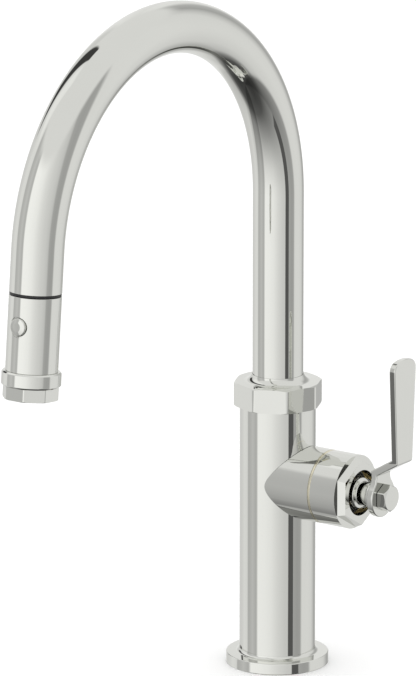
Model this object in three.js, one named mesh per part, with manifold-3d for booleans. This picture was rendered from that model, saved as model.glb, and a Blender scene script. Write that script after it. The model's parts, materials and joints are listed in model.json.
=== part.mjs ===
// Pull down kitchen faucet: a swivelling gooseneck spout on a round column, a docked spray head on a
// hose, and a side lever on a ceramic disc cartridge. Millimetres, +Z up. The origin is the centre of the
// base on the worktop, the spout points towards -Y and the lever stands off towards +X.
import * as THREE from "three";
import { mergeVertices } from "three/addons/utils/BufferGeometryUtils.js";
import Module from "manifold-3d";

const wasm = await Module();
wasm.setup();

// Driving dimensions
const GAP = 0.3;
const FINE = 32;
const COARSE = 16;
const DEG = Math.PI / 180;

const TUBE_R = 15;
const TUBE_WALL = 2;
const COLUMN_R = 22.5;
const COLUMN_WALL = 2;
const FLANGE_R = 30.5;
const FLANGE_RIM = 6.8;
const FLANGE_TOP = 9;

const NUT_BOTTOM = 158.1;
const NUT_FACES = 14.1;
const NUT_TOP = 176.7;
const NUT_CORNER_R = 26.5;
const NUT_CLOCK = 2.1;

const BEND_Z = 286.6;
const BEND_R = 117.1;
const LEAN = 5.29;
const TAIL = 24.6;
const TUBE_FOOT = 141;

const HOSE_R = 6.5;
const PIPE_R = 3.2;
const PIPE_BORE = 2.2;
const PIPE_PITCH_R = 10.6;
const PIPE_TURN = 100;
const SHANK_R = 16.4;
const SHANK_BORE = 14.3;
const SHANK_BOTTOM = -52;

const VALVE_Z = 113.2;
const VALVE_R = 22;
const STUB_END = 36.7;
const CAP_START = 37.8;
const CAP_LEDGE = 55.7;
const CAP_END = 60.4;
const CAP_LEDGE_FLAT = 18.5;
const CAP_END_FLAT = 17;
const CAP_MOUTH_R = 13.4;
const BODY_R = 17.8;
const CARTRIDGE_R = 14;
const PIVOT_X = 46;
const NECK_R = 7;
const NECK_COLLAR_R = 9.2;

const LEVER_BACK = 71.7;
const LEVER_THICK = 4.1;
const LEVER_BOSS_R = 12;
const BOLT_R = 8.4;
const BOLT_HEAD = 6;
const BLADE_BACK = 86.6;
const BLADE_TOP = 85.4;
const BLADE_FOOT = 24.2;
const BEND_RISE = 14.2;

const HEAD_SHELL = 43.3;
const HEAD_RING_R = 17;
const HEAD_RING = 8.6;
const HEAD_LENGTH = 59.3;
const OUTLET_CORNER_R = 16.3;
const BUTTON_DROP = 17.1;
const BUTTON_R = 5.2;
const DOCK_RING = 1.4;

// Materials
const finish = (color, roughness, metalness) => new THREE.MeshStandardMaterial({ color, roughness, metalness });
const nickel = () => finish(0xd6d3ca, 0.08, 1);
const brass = () => finish(0xb99a55, 0.35, 1);
const steel = () => finish(0xb9bab8, 0.3, 1);
const blackPlastic = () => finish(0x16171a, 0.45, 0);
const whitePlastic = () => finish(0xe4e3dd, 0.5, 0);
const rubber = () => finish(0x202124, 0.8, 0);
const ceramic = () => finish(0xf1efe8, 0.25, 0);
const braid = () => finish(0x6d7175, 0.6, 0.2);

// Closed bodies with their faces out, and the two boolean tools
function closed(geometry) {
  const bare = geometry.index ? geometry.toNonIndexed() : geometry.clone();
  for (const name of Object.keys(bare.attributes)) {
    if (name !== "position") bare.deleteAttribute(name);
  }
  const merged = mergeVertices(bare, 1e-4);
  const kept = [];
  const index = merged.index.array;
  for (let i = 0; i < index.length; i += 3) {
    const [a, b, c] = [index[i], index[i + 1], index[i + 2]];
    if (a !== b && b !== c && c !== a) kept.push(a, b, c);
  }
  if (signedVolume(merged.attributes.position, kept) < 0) {
    for (let i = 0; i < kept.length; i += 3) [kept[i], kept[i + 1]] = [kept[i + 1], kept[i]];
  }
  merged.setIndex(kept);
  return merged;
}

function signedVolume(position, index) {
  const [a, b, c] = [new THREE.Vector3(), new THREE.Vector3(), new THREE.Vector3()];
  let volume = 0;
  for (let i = 0; i < index.length; i += 3) {
    a.fromBufferAttribute(position, index[i]);
    b.fromBufferAttribute(position, index[i + 1]);
    c.fromBufferAttribute(position, index[i + 2]);
    volume += a.dot(b.cross(c)) / 6;
  }
  return volume;
}

function toSolid(geometry) {
  const body = closed(geometry);
  const vertProperties = new Float32Array(body.attributes.position.array);
  const triVerts = new Uint32Array(body.index.array);
  return new wasm.Manifold(new wasm.Mesh({ numProp: 3, vertProperties, triVerts }));
}

function fromSolid(solid) {
  const { vertProperties, triVerts } = solid.getMesh();
  const geometry = new THREE.BufferGeometry();
  geometry.setAttribute("position", new THREE.BufferAttribute(new Float32Array(vertProperties), 3));
  geometry.setIndex(new THREE.BufferAttribute(new Uint32Array(triVerts), 1));
  return geometry;
}

const cut = (geometry, ...tools) => fromSolid(tools.reduce((s, t) => s.subtract(toSolid(t)), toSolid(geometry)));
const join = (geometry, ...more) => fromSolid(more.reduce((s, t) => s.add(toSolid(t)), toSolid(geometry)));
const common = (geometry, other) => fromSolid(toSolid(geometry).intersect(toSolid(other)));

// Turned shapes: a profile of [radius, height] pairs around +Z
function turned(profile, segments = COARSE) {
  const points = profile.map(([r, z]) => new THREE.Vector2(r, z));
  return closed(new THREE.LatheGeometry(points, segments).rotateX(Math.PI / 2));
}

const ring = (inner, outer, low, high, segments) =>
  turned([[inner, low], [outer, low], [outer, high], [inner, high], [inner, low]], segments);

const rod = (radius, low, high, segments) => turned([[0, low], [radius, low], [radius, high], [0, high]], segments);

// The valve's axis runs along +X at VALVE_Z
const onValve = (geometry) => geometry.rotateY(Math.PI / 2).translate(0, 0, VALVE_Z);

function torus(radius, section, z) {
  return closed(new THREE.TorusGeometry(radius, section, 8, COARSE).translate(0, 0, z));
}

function slab(x0, x1, y0, y1, z0, z1) {
  const box = new THREE.BoxGeometry(x1 - x0, y1 - y0, z1 - z0);
  return box.translate((x0 + x1) / 2, (y0 + y1) / 2, (z0 + z1) / 2);
}

function prism(outline, low, high) {
  const shape = new THREE.Shape(outline.map(([x, y]) => new THREE.Vector2(x, y)));
  return new THREE.ExtrudeGeometry(shape, { depth: high - low, bevelEnabled: false }).translate(0, 0, low);
}

// A regular polygon with its first corner at the clock angle
function polygon(sides, cornerR, clock) {
  const corner = (i) => (clock + (360 * i) / sides) * DEG;
  return Array.from({ length: sides }, (_, i) => [cornerR * Math.cos(corner(i)), cornerR * Math.sin(corner(i))]);
}

// Centre line of the spout: riser, bend and leaning tail. Sections stand at the ends and around the bend.
const BEND_STEPS = 26;
const SWEEP = (180 - LEAN) * DEG;

class SpoutLine extends THREE.Curve {
  constructor(foot, tail) {
    super();
    this.foot = foot;
    this.tail = tail;
  }

  getPoint(t, target = new THREE.Vector3()) {
    const section = t * (BEND_STEPS + 2);
    if (section < 1) return target.set(0, 0, this.foot + (BEND_Z - this.foot) * section);
    const angle = (Math.min(section - 1, BEND_STEPS) / BEND_STEPS) * SWEEP;
    const past = Math.max(0, section - 1 - BEND_STEPS) * this.tail;
    const y = -BEND_R + BEND_R * Math.cos(angle) - past * Math.sin(angle);
    const z = BEND_Z + BEND_R * Math.sin(angle) + past * Math.cos(angle);
    return target.set(0, y, z);
  }

  getPointAt(u, target) {
    return this.getPoint(u, target);
  }

  getTangent(t, target = new THREE.Vector3()) {
    const section = Math.min(Math.max(t * (BEND_STEPS + 2) - 1, 0), BEND_STEPS);
    const angle = (section / BEND_STEPS) * SWEEP;
    return target.set(0, -Math.sin(angle), Math.cos(angle));
  }

  getTangentAt(u, target) {
    return this.getTangent(u, target);
  }

  getSpacedPoints(divisions) {
    return this.getPoints(divisions);
  }
}

function swept(line, outer, inner, sides) {
  const shape = new THREE.Shape(polygon(sides, outer, 0).map(([x, y]) => new THREE.Vector2(x, y)));
  if (inner > 0) {
    shape.holes.push(new THREE.Path(polygon(sides, inner, 0).map(([x, y]) => new THREE.Vector2(x, y))));
  }
  return closed(new THREE.ExtrudeGeometry(shape, { steps: BEND_STEPS + 2, extrudePath: line }));
}

// Scene graph
const faucet = new THREE.Group();
const dock = new THREE.Group();
dock.position.set(0, -BEND_R + BEND_R * Math.cos(SWEEP) - TAIL * Math.sin(SWEEP), 0);
dock.position.z = BEND_Z + BEND_R * Math.sin(SWEEP) + TAIL * Math.cos(SWEEP);
dock.rotation.x = -LEAN * DEG;
faucet.add(dock);

function add(name, geometry, material, parent = faucet) {
  const mesh = new THREE.Mesh(closed(geometry), material);
  mesh.name = name;
  parent.add(mesh);
}

// Base flange, column and the fixing under the worktop
function makeBase() {
  const seat = 6;
  const grooveIn = 19.6;
  const grooveOut = 28.4;
  const flange = turned([
    [SHANK_R + GAP, 0], [grooveIn, 0], [grooveIn, 1.5], [grooveOut, 1.5], [grooveOut, 0], [FLANGE_R - 0.5, 0],
    [FLANGE_R, 0.5], [FLANGE_R - 0.2, 6.2], [FLANGE_R - 0.8, FLANGE_RIM], [COLUMN_R + 2.6, 7.1],
    [COLUMN_R + 1.1, 7.7], [COLUMN_R + GAP, FLANGE_TOP], [COLUMN_R + GAP, seat],
    [SHANK_R + GAP, seat], [SHANK_R + GAP, 0],
  ], FINE);
  add("base_flange", flange, nickel());
  add("deck_gasket", ring(grooveIn + GAP, grooveOut - GAP, 0, 1.5 - GAP, FINE), rubber());

  const shell = ring(COLUMN_R - COLUMN_WALL, COLUMN_R, seat + GAP, NUT_BOTTOM - GAP, FINE);
  add("column_shell", cut(shell, onValve(rod(BODY_R + 0.5, 6, 30, FINE))), nickel());

  const shankHead = COLUMN_R - COLUMN_WALL - GAP;
  const shank = turned([
    [SHANK_BORE, SHANK_BOTTOM], [SHANK_R, SHANK_BOTTOM], [SHANK_R, seat + GAP], [shankHead, seat + GAP],
    [shankHead, 12], [SHANK_BORE, 12], [SHANK_BORE, SHANK_BOTTOM],
  ], FINE);
  add("threaded_shank", shank, brass());

  const deck = 30;
  add("fixing_rubber_washer", ring(SHANK_R + GAP, 26, -deck - 3, -deck, FINE), rubber());
  add("fixing_steel_washer", ring(SHANK_R + GAP, 25, -deck - 5.3, -deck - 3.3, FINE), steel());
  const nut = prism(polygon(6, 26, 30), -deck - 16, -deck - 5.6);
  add("fixing_nut", cut(nut, rod(SHANK_R + GAP, -deck - 17, -deck - 5, FINE)), brass());
}

// Brass valve body: a centring disc round the hose, a horizontal bore for the cartridge, three pipes
function makeValveBody() {
  const discLow = 86;
  const discHigh = 94;
  const inner = 8.6;
  const shellIn = COLUMN_R - COLUMN_WALL - GAP;
  const spots = [0, PIPE_TURN, -PIPE_TURN].map((turn) => [
    PIPE_PITCH_R * Math.cos(turn * DEG), PIPE_PITCH_R * Math.sin(turn * DEG),
  ]);
  const disc = rod(shellIn, discLow, discHigh, FINE);
  const barrel = onValve(rod(BODY_R, inner, 40, FINE));
  const riser = slab(inner, 17, -8, 8, discHigh - 1, VALVE_Z - BODY_R + 4);
  const bore = onValve(rod(CARTRIDGE_R + 0.4, 14, 42, FINE));
  const hosePass = rod(HOSE_R + 0.8, discLow - 1, discHigh + 1);
  const sockets = spots.map(([x, y]) => rod(PIPE_R + GAP, discLow - 1, discLow + 5).translate(x, y, 0));
  add("valve_body", cut(join(disc, barrel, riser), bore, hosePass, ...sockets), brass());

  ["outlet_pipe", "hot_supply_pipe", "cold_supply_pipe"].forEach((name, i) => {
    const pipe = ring(PIPE_BORE, PIPE_R, SHANK_BOTTOM + 4, discLow + 4, 16);
    add(name, pipe.translate(spots[i][0], spots[i][1], 0), steel());
  });
}

// Cartridge: housing, seal, two ceramic discs, the rotor that holds the stem's pin, and its screwed ring
function makeCartridge() {
  const x0 = 14 + GAP;
  const cupIn = CARTRIDGE_R - 2;
  const cup = turned([
    [3, x0 + 1.5], [CARTRIDGE_R, x0 + 1.5], [CARTRIDGE_R, 36], [cupIn, 36], [cupIn, x0 + 4], [3, x0 + 4],
    [3, x0 + 1.5],
  ]);
  add("cartridge_seal", onValve(ring(3.5, CARTRIDGE_R - 1, x0, x0 + 1.5 - GAP)), rubber());
  add("cartridge_housing", onValve(cup), whitePlastic());
  add("fixed_ceramic_disc", onValve(ring(2, cupIn - GAP, x0 + 4.3, x0 + 7.3)), ceramic());
  add("moving_ceramic_disc", onValve(rod(cupIn - 1.5, x0 + 7.6, x0 + 10.4)), ceramic());
  add("cartridge_ring", onValve(ring(9.6, CARTRIDGE_R + 0.1, 36.3, 40)), brass());

  const wellR = 6.4;
  const rotor = turned([
    [0, x0 + 10.7], [cupIn - GAP, x0 + 10.7], [cupIn - GAP, 35.6], [9, 35.6], [9, 48.4], [wellR, 48.4],
    [wellR, 28.5], [0, 28.5],
  ]);
  const pinHole = rod(1.2 + GAP, -12, 12).rotateX(Math.PI / 2).translate(PIVOT_X, 0, VALVE_Z);
  add("cartridge_rotor", cut(onValve(rotor), pinHole), whitePlastic());
  const pin = rod(1.2, -8.8, 8.8).rotateX(Math.PI / 2).translate(PIVOT_X, 0, VALVE_Z);
  add("stem_pin", pin, steel());
}

// The outside of the valve: a stub saddled on the column, a thin ring and a cap with a tapered hexagon end
function makeValveCovers() {
  const sleeve = onValve(ring(BODY_R + 1.2, VALVE_R, 6, STUB_END, FINE));
  add("valve_stub", cut(sleeve, rod(COLUMN_R + GAP, 60, 160, FINE)), nickel());
  add("trim_ring", onValve(ring(BODY_R + 1.2, VALVE_R - 0.2, STUB_END + GAP, CAP_START - GAP, FINE)), brass());

  const cap = onValve(rod(VALVE_R, CAP_START, CAP_END, FINE));
  const far = 40;
  const deep = CAP_END - CAP_LEDGE;
  const taper = Math.atan2(CAP_LEDGE_FLAT - CAP_END_FLAT, deep);
  const tools = [];
  for (let i = 0; i < 6; i += 1) {
    const tool = slab(0, far, -far, far, 0, far);
    const beyond = slab(CAP_LEDGE, far * 2, -far, far, 0, far);
    const flat = common(tool.rotateY(taper).translate(CAP_LEDGE, 0, CAP_LEDGE_FLAT), beyond);
    tools.push(flat.rotateX((i * 60 + 30) * DEG).translate(0, 0, VALVE_Z));
  }
  const room = onValve(rod(BODY_R + 0.5, CAP_START - 1, CAP_LEDGE - 2, FINE));
  const mouth = onValve(rod(CAP_MOUTH_R, CAP_LEDGE - 3, CAP_END + 1, FINE));
  add("valve_cap", cut(cap, ...tools, room, mouth), nickel());
}

// Lever side: stem, neck, bent lever and its hexagon bolt
function makeHandle() {
  const stemR = 2.8;
  const boltX = LEVER_BACK + LEVER_THICK;
  const stem = onValve(rod(stemR, 32, 60));
  const pinHole = rod(1.2 + GAP, -12, 12).rotateX(Math.PI / 2).translate(PIVOT_X, 0, VALVE_Z);
  add("stem", cut(stem, pinHole), steel());

  const neck = turned([
    [stemR + GAP, 52], [NECK_R, 52], [NECK_R, 57.5], [NECK_COLLAR_R, 57.5], [NECK_COLLAR_R, 60.2],
    [NECK_R, 60.9], [NECK_R, 67.6], [8.6, 68.6], [8.6, LEVER_BACK - GAP],
    [stemR + GAP, LEVER_BACK - GAP], [stemR + GAP, 52],
  ], FINE);
  add("handle_neck", onValve(neck), nickel());
  add("lever", makeLever(boltX), nickel());

  const head = prism(polygon(6, BOLT_R, 90), 0, BOLT_HEAD).rotateY(Math.PI / 2).translate(boltX + GAP, 0, VALVE_Z);
  const crown = onValve(turned([
    [0, boltX + GAP], [BOLT_R - 0.2, boltX + GAP], [BOLT_R - 0.2, boltX + BOLT_HEAD - 1.6],
    [BOLT_R - 1.6, boltX + BOLT_HEAD - 0.4], [0, boltX + BOLT_HEAD],
  ], FINE));
  const shankEnd = 62;
  const shank = onValve(rod(2.5, shankEnd, boltX + 1));
  add("handle_bolt", join(common(head, crown), shank), nickel());
}

function makeLever(front) {
  const z = (rise) => VALVE_Z + rise;
  const slope = Math.tan(30.5 * DEG);
  const bladeFront = BLADE_BACK + LEVER_THICK;
  const innerRise = BEND_RISE + 2.6;
  const heel = 1.2;
  const side = [
    [LEVER_BACK, z(-14)], [front, z(-14)], [front, z(BEND_RISE)],
    [bladeFront - heel, z(BEND_RISE + (bladeFront - front - heel) * slope)],
    [bladeFront, z(BLADE_FOOT)], [bladeFront, z(BLADE_TOP + 5)], [BLADE_BACK, z(BLADE_TOP + 5)],
    [BLADE_BACK, z(innerRise + (BLADE_BACK - LEVER_BACK) * slope)], [LEVER_BACK, z(innerRise)],
  ];
  const reach = 14;
  const bar = prism(side, -reach, reach).rotateX(Math.PI / 2);
  const outline = new THREE.Shape();
  const [neckHalf, footHalf, topHalf, crown] = [7.15, 8.1, 11, 7];
  outline.absarc(0, 0, LEVER_BOSS_R, -218 * DEG, 38 * DEG, false);
  outline.lineTo(neckHalf, 12);
  outline.lineTo(footHalf, BLADE_FOOT);
  outline.absellipse(0, BLADE_TOP - crown, topHalf, crown, 0, Math.PI, false);
  outline.lineTo(-footHalf, BLADE_FOOT);
  outline.lineTo(-neckHalf, 12);
  const front3d = new THREE.ExtrudeGeometry(outline, { depth: 40, bevelEnabled: false, curveSegments: 12 });
  front3d.rotateX(Math.PI / 2).rotateZ(Math.PI / 2).translate(60, 0, VALVE_Z);
  const boltHole = onValve(rod(2.5 + GAP, LEVER_BACK - 2, front + 2));
  return cut(common(bar, front3d), boltHole);
}

// Swivel joint in the top of the column: socket, octagonal nut, bushes and O-rings
function makeSwivel() {
  const socketR = COLUMN_R - COLUMN_WALL - GAP;
  const bushOut = 17.4;
  const bushIn = TUBE_R + GAP;
  const socketIn = bushOut + GAP;
  const socketTop = 168;
  const socket = turned([
    [13.4, 136], [socketR, 136], [socketR, socketTop], [socketIn, socketTop], [socketIn, 138.5],
    [13.4, 138.5], [13.4, 136],
  ], FINE);
  add("spout_socket", socket, brass());

  const faces = NUT_BOTTOM + NUT_FACES;
  const coneR = 24;
  const outer = turned([
    [0, NUT_BOTTOM], [NUT_CORNER_R - 1.7, NUT_BOTTOM], [NUT_CORNER_R - 0.2, NUT_BOTTOM + 1.2],
    [NUT_CORNER_R - 0.2, faces - 0.7], [coneR + 0.6, faces], [20.4, faces + 0.6], [17.4, faces + 2],
    [16.1, faces + 3.4],
    [TUBE_R + GAP, NUT_TOP], [0, NUT_TOP],
  ], FINE);
  const octagon = prism(polygon(8, NUT_CORNER_R, -90 + NUT_CLOCK), NUT_BOTTOM - 1, NUT_TOP + 1);
  const bore = rod(socketR + GAP, NUT_BOTTOM - 2, socketTop + 0.8, FINE);
  const mouth = rod(TUBE_R + GAP, socketTop, NUT_TOP + 2, FINE);
  add("collar_nut", cut(common(outer, octagon), bore, mouth), nickel());

  add("lower_bush", ring(bushIn, bushOut, 142, 147), whitePlastic());
  add("upper_bush", ring(bushIn, bushOut, 161, 167), whitePlastic());
  [150.5, 156].forEach((z, i) => add("spout_o_ring_" + (i + 1), torus((bushIn + bushOut) / 2, 1, z), rubber()));
}

// Spout tube, docking insert and the hose run that stays in it
function makeSpout() {
  add("spout_tube", swept(new SpoutLine(TUBE_FOOT, TAIL - DOCK_RING - GAP), TUBE_R, TUBE_R - TUBE_WALL, 24), nickel());
  add("spray_hose", swept(new SpoutLine(SHANK_BOTTOM + 6, 2), HOSE_R, 0, 12), braid());
  const sleeveR = TUBE_R - TUBE_WALL - 0.5;
  const insert = turned([
    [9.9, 18], [sleeveR, 18], [sleeveR, DOCK_RING], [TUBE_R - 0.3, DOCK_RING], [TUBE_R - 0.3, 0], [9.9, 0],
    [9.9, 18],
  ], FINE);
  add("dock_insert", insert, blackPlastic(), dock);
}

// Hose end that pulls out with the head: hose stub, crimped ferrule and ball fitting
function makeHoseEnd() {
  const stubTop = TAIL - 2 - GAP;
  add("hose_stub", rod(HOSE_R, 13, stubTop, 12), braid(), dock);
  add("hose_ferrule", turned([[0, 2], [8.6, 2], [8.6, 9], [7.6, 12.7], [0, 12.7]]), steel(), dock);
  const ball = turned([[0, 1.7], [4, 1.7], [4, -2], [6.2, -3.6], [6.2, -6.4], [4.4, -8], [0, -8]]);
  add("ball_fitting", ball, brass(), dock);
}

// Spray head below the docking ring. Heights run down from the ring, so they are negative here.
function makeSprayHead() {
  const inner = TUBE_R - TUBE_WALL;
  const axis = (geometry) => geometry.rotateX(Math.PI / 2).translate(0, 0, -BUTTON_DROP);
  const shell = turned([
    [inner, -GAP], [TUBE_R - 0.3, -GAP], [TUBE_R, -0.8], [TUBE_R, -HEAD_SHELL + GAP], [inner, -HEAD_SHELL + GAP],
    [inner, -GAP],
  ], FINE);
  add("head_shell", cut(shell, axis(rod(BUTTON_R + 1.1, 5, 20))), nickel(), dock);
  const bezel = common(axis(ring(BUTTON_R + 0.4, BUTTON_R + 0.8, inner + GAP, 20)), rod(TUBE_R - 0.1, -40, 0, FINE));
  add("button_bezel", bezel, nickel(), dock);

  const socket = turned([
    [6.6, -1], [inner - GAP, -1], [inner - GAP, -10.2], [4, -10.2], [4, -8.6], [6.6, -7.2], [6.6, -1],
  ]);
  add("swivel_socket", socket, blackPlastic(), dock);
  const core = turned([
    [2.5, -10.5], [inner - GAP, -10.5], [inner - GAP, -11.4], [8, -11.4], [8, -23.6], [inner - GAP, -23.6],
    [inner - GAP, -42], [9, -42], [9, -28], [2.5, -28], [2.5, -10.5],
  ]);
  add("head_core", core, whitePlastic(), dock);
  add("check_valve", ring(3, 8.6, -36, -28.3), blackPlastic(), dock);

  const ringTop = -HEAD_SHELL - GAP;
  const ringLow = -HEAD_SHELL - HEAD_RING;
  const band = turned([
    [inner, ringTop], [HEAD_RING_R - 0.9, ringTop], [HEAD_RING_R, ringTop - 0.9], [HEAD_RING_R, ringLow + 0.9],
    [HEAD_RING_R - 0.9, ringLow], [inner, ringLow], [inner, ringTop],
  ], FINE);
  add("head_ring", band, nickel(), dock);

  const nutLow = -HEAD_LENGTH;
  const octagon = prism(polygon(8, OUTLET_CORNER_R, 22.5), nutLow, ringLow - GAP);
  const trim = turned([
    [0, ringLow], [OUTLET_CORNER_R - 0.2, ringLow], [OUTLET_CORNER_R - 0.2, nutLow + 1],
    [OUTLET_CORNER_R - 1.3, nutLow], [0, nutLow],
  ], FINE);
  add("outlet_nut", cut(common(octagon, trim), rod(inner, nutLow - 1, ringLow + 1, FINE)), nickel(), dock);
  add("spray_plate", makeSprayPlate(inner, nutLow), rubber(), dock);
  add("aerator", ring(2, 6, nutLow + 1.6, -47), whitePlastic(), dock);
}

// Face plate with a ring of spray holes round the aerator's seat
function makeSprayPlate(inner, nutLow) {
  const plate = ring(6 + GAP, inner - GAP, nutLow + 1, nutLow + 5, FINE);
  const holes = 12;
  const pitch = 9.6;
  const tools = [];
  for (let i = 0; i < holes; i += 1) {
    const turn = ((i + 0.5) * 360 * DEG) / holes;
    tools.push(rod(0.8, nutLow, nutLow + 6, 8).translate(pitch * Math.cos(turn), pitch * Math.sin(turn), 0));
  }
  return cut(plate, ...tools);
}

// Button on the head's front, facing -Y, with its plunger and the spring that stands on the core
function makeButton() {
  const axis = (geometry) => geometry.rotateX(Math.PI / 2).translate(0, 0, -BUTTON_DROP);
  const crown = TUBE_R + 1.4;
  const button = turned([
    [0, 10.6], [1.8, 10.6], [1.8, 12.4], [BUTTON_R, 12.4], [BUTTON_R, crown - 0.9], [BUTTON_R - 1.1, crown - 0.2],
    [0, crown],
  ]);
  add("spray_button", axis(button), nickel(), dock);
  add("button_spring", axis(ring(2.3, 3.3, 8.4, 10.6, 12)), steel(), dock);
}

makeBase();
makeValveBody();
makeCartridge();
makeValveCovers();
makeHandle();
makeSwivel();
makeSpout();
makeHoseEnd();
makeSprayHead();
makeButton();

export default faucet;
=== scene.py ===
"""Pull down kitchen faucet in polished nickel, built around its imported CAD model.

Metres, +Z up. The spout points towards -Y and the lever stands off towards +X.
"""
import json
import math

import bmesh
import bpy
from mathutils import Matrix, Vector


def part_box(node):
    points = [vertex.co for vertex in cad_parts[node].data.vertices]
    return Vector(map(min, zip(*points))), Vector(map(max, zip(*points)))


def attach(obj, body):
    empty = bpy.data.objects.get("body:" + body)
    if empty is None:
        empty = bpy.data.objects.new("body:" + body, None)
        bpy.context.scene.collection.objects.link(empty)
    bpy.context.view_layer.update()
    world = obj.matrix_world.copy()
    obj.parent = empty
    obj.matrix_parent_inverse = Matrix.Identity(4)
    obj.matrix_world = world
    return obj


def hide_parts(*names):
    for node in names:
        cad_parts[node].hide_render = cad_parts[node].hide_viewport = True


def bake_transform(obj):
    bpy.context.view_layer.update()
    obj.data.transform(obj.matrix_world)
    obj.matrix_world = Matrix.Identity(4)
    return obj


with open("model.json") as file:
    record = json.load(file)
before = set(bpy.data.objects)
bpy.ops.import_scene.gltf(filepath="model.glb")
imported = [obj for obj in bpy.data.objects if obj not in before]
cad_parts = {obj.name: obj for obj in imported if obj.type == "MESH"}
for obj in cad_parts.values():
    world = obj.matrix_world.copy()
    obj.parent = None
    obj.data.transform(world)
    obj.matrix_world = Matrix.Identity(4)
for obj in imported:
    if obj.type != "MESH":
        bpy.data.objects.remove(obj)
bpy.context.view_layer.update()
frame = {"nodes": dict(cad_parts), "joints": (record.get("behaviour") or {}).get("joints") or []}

MM = 0.001
FULL = 2 * math.pi
HALF = math.pi
GAP = 0.3 * MM
SEAM = 0.05 * MM
ROUND = 96
SMALL_ROUND = 48

# ---------------------------------------------------------------- places read from the frame


def joint(name):
    return next(j for j in frame["joints"] if j["name"] == name)


def low(node):
    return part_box(node)[0]


def high(node):
    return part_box(node)[1]


HEAD_AXIS = Vector(joint("head_swivel")["axis"]).normalized()
DOCK = Vector(joint("head_swivel")["pos_m"])
VALVE_Z = joint("temperature")["pos_m"][2]
LEAN = math.atan2(-HEAD_AXIS.y, -HEAD_AXIS.z)

TUBE_R = high("spout_tube").x
TUBE_BORE = TUBE_R - 2 * MM
TUBE_FOOT = low("spout_tube").z
COLUMN_R = high("column_shell").x
FLANGE_R = high("base_flange").x
FLANGE_TOP = high("base_flange").z
NUT_LOW = low("collar_nut").z
NUT_TOP = high("collar_nut").z
VALVE_R = high("valve_stub").z - VALVE_Z
STUB_END = high("valve_stub").x
CAP_START = low("valve_cap").x
CAP_END = high("valve_cap").x
LEVER_BACK = low("lever").x
BLADE_FRONT = high("lever").x
LEVER_TOP = high("lever").z - VALVE_Z
LEVER_THICK = 4.1 * MM
BOLT_END = high("handle_bolt").x
HOSE_R = high("spray_hose").x

NUT_CLOCK = 2.1
TAIL = 24.6 * MM
DOCK_RING = 1.4 * MM
HEAD_SHELL = 43.3 * MM
HEAD_RING = 8.6 * MM
HEAD_LENGTH = 59.3 * MM
BUTTON_DROP = 17.1 * MM
BUTTON_R = 5.2 * MM

# The hose's short straight run above the docking ring, and the part of it that draws out
DRAWN_TOP = 22.3 * MM
DRAWN_LOW = 13 * MM
DRAW_START = 21.9 * MM
DRAW_END = 13.4 * MM
PULL = 0.15

# The bend's radius and height follow from the dock's place, as the tail leans away from it
SWEEP = HALF - LEAN
BEND_R = -(DOCK.y + TAIL * math.sin(SWEEP)) / (1 - math.cos(SWEEP))
BEND_Z = high("spout_tube").z - BEND_R - TUBE_R

ALONG_X = Matrix.Rotation(math.pi / 2, 4, "Y")
ON_VALVE = Matrix.Translation((0, 0, VALVE_Z)) @ ALONG_X
ON_DOCK = Matrix.Translation(DOCK) @ Matrix.Rotation(-LEAN, 4, "X")
ON_BUTTON = ON_DOCK @ Matrix.Translation((0, 0, -BUTTON_DROP)) @ Matrix.Rotation(math.pi / 2, 4, "X")

# ---------------------------------------------------------------- camera

CAMERA_PLACE = Vector((2.4229, -3.4418, 1.2914))
CAMERA_HEADING = math.radians(35.704)
CAMERA_PITCH = math.radians(14.565)
CAMERA_LENS = 394.12


def make_camera():
    data = bpy.data.cameras.new("camera")
    data.sensor_width = 36
    data.lens = CAMERA_LENS
    data.clip_end = 50
    camera = bpy.data.objects.new("camera", data)
    bpy.context.scene.collection.objects.link(camera)
    camera.location = CAMERA_PLACE
    camera.rotation_euler = (math.pi / 2 - CAMERA_PITCH, 0, CAMERA_HEADING)
    bpy.context.scene.camera = camera


# ---------------------------------------------------------------- node helpers


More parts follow.
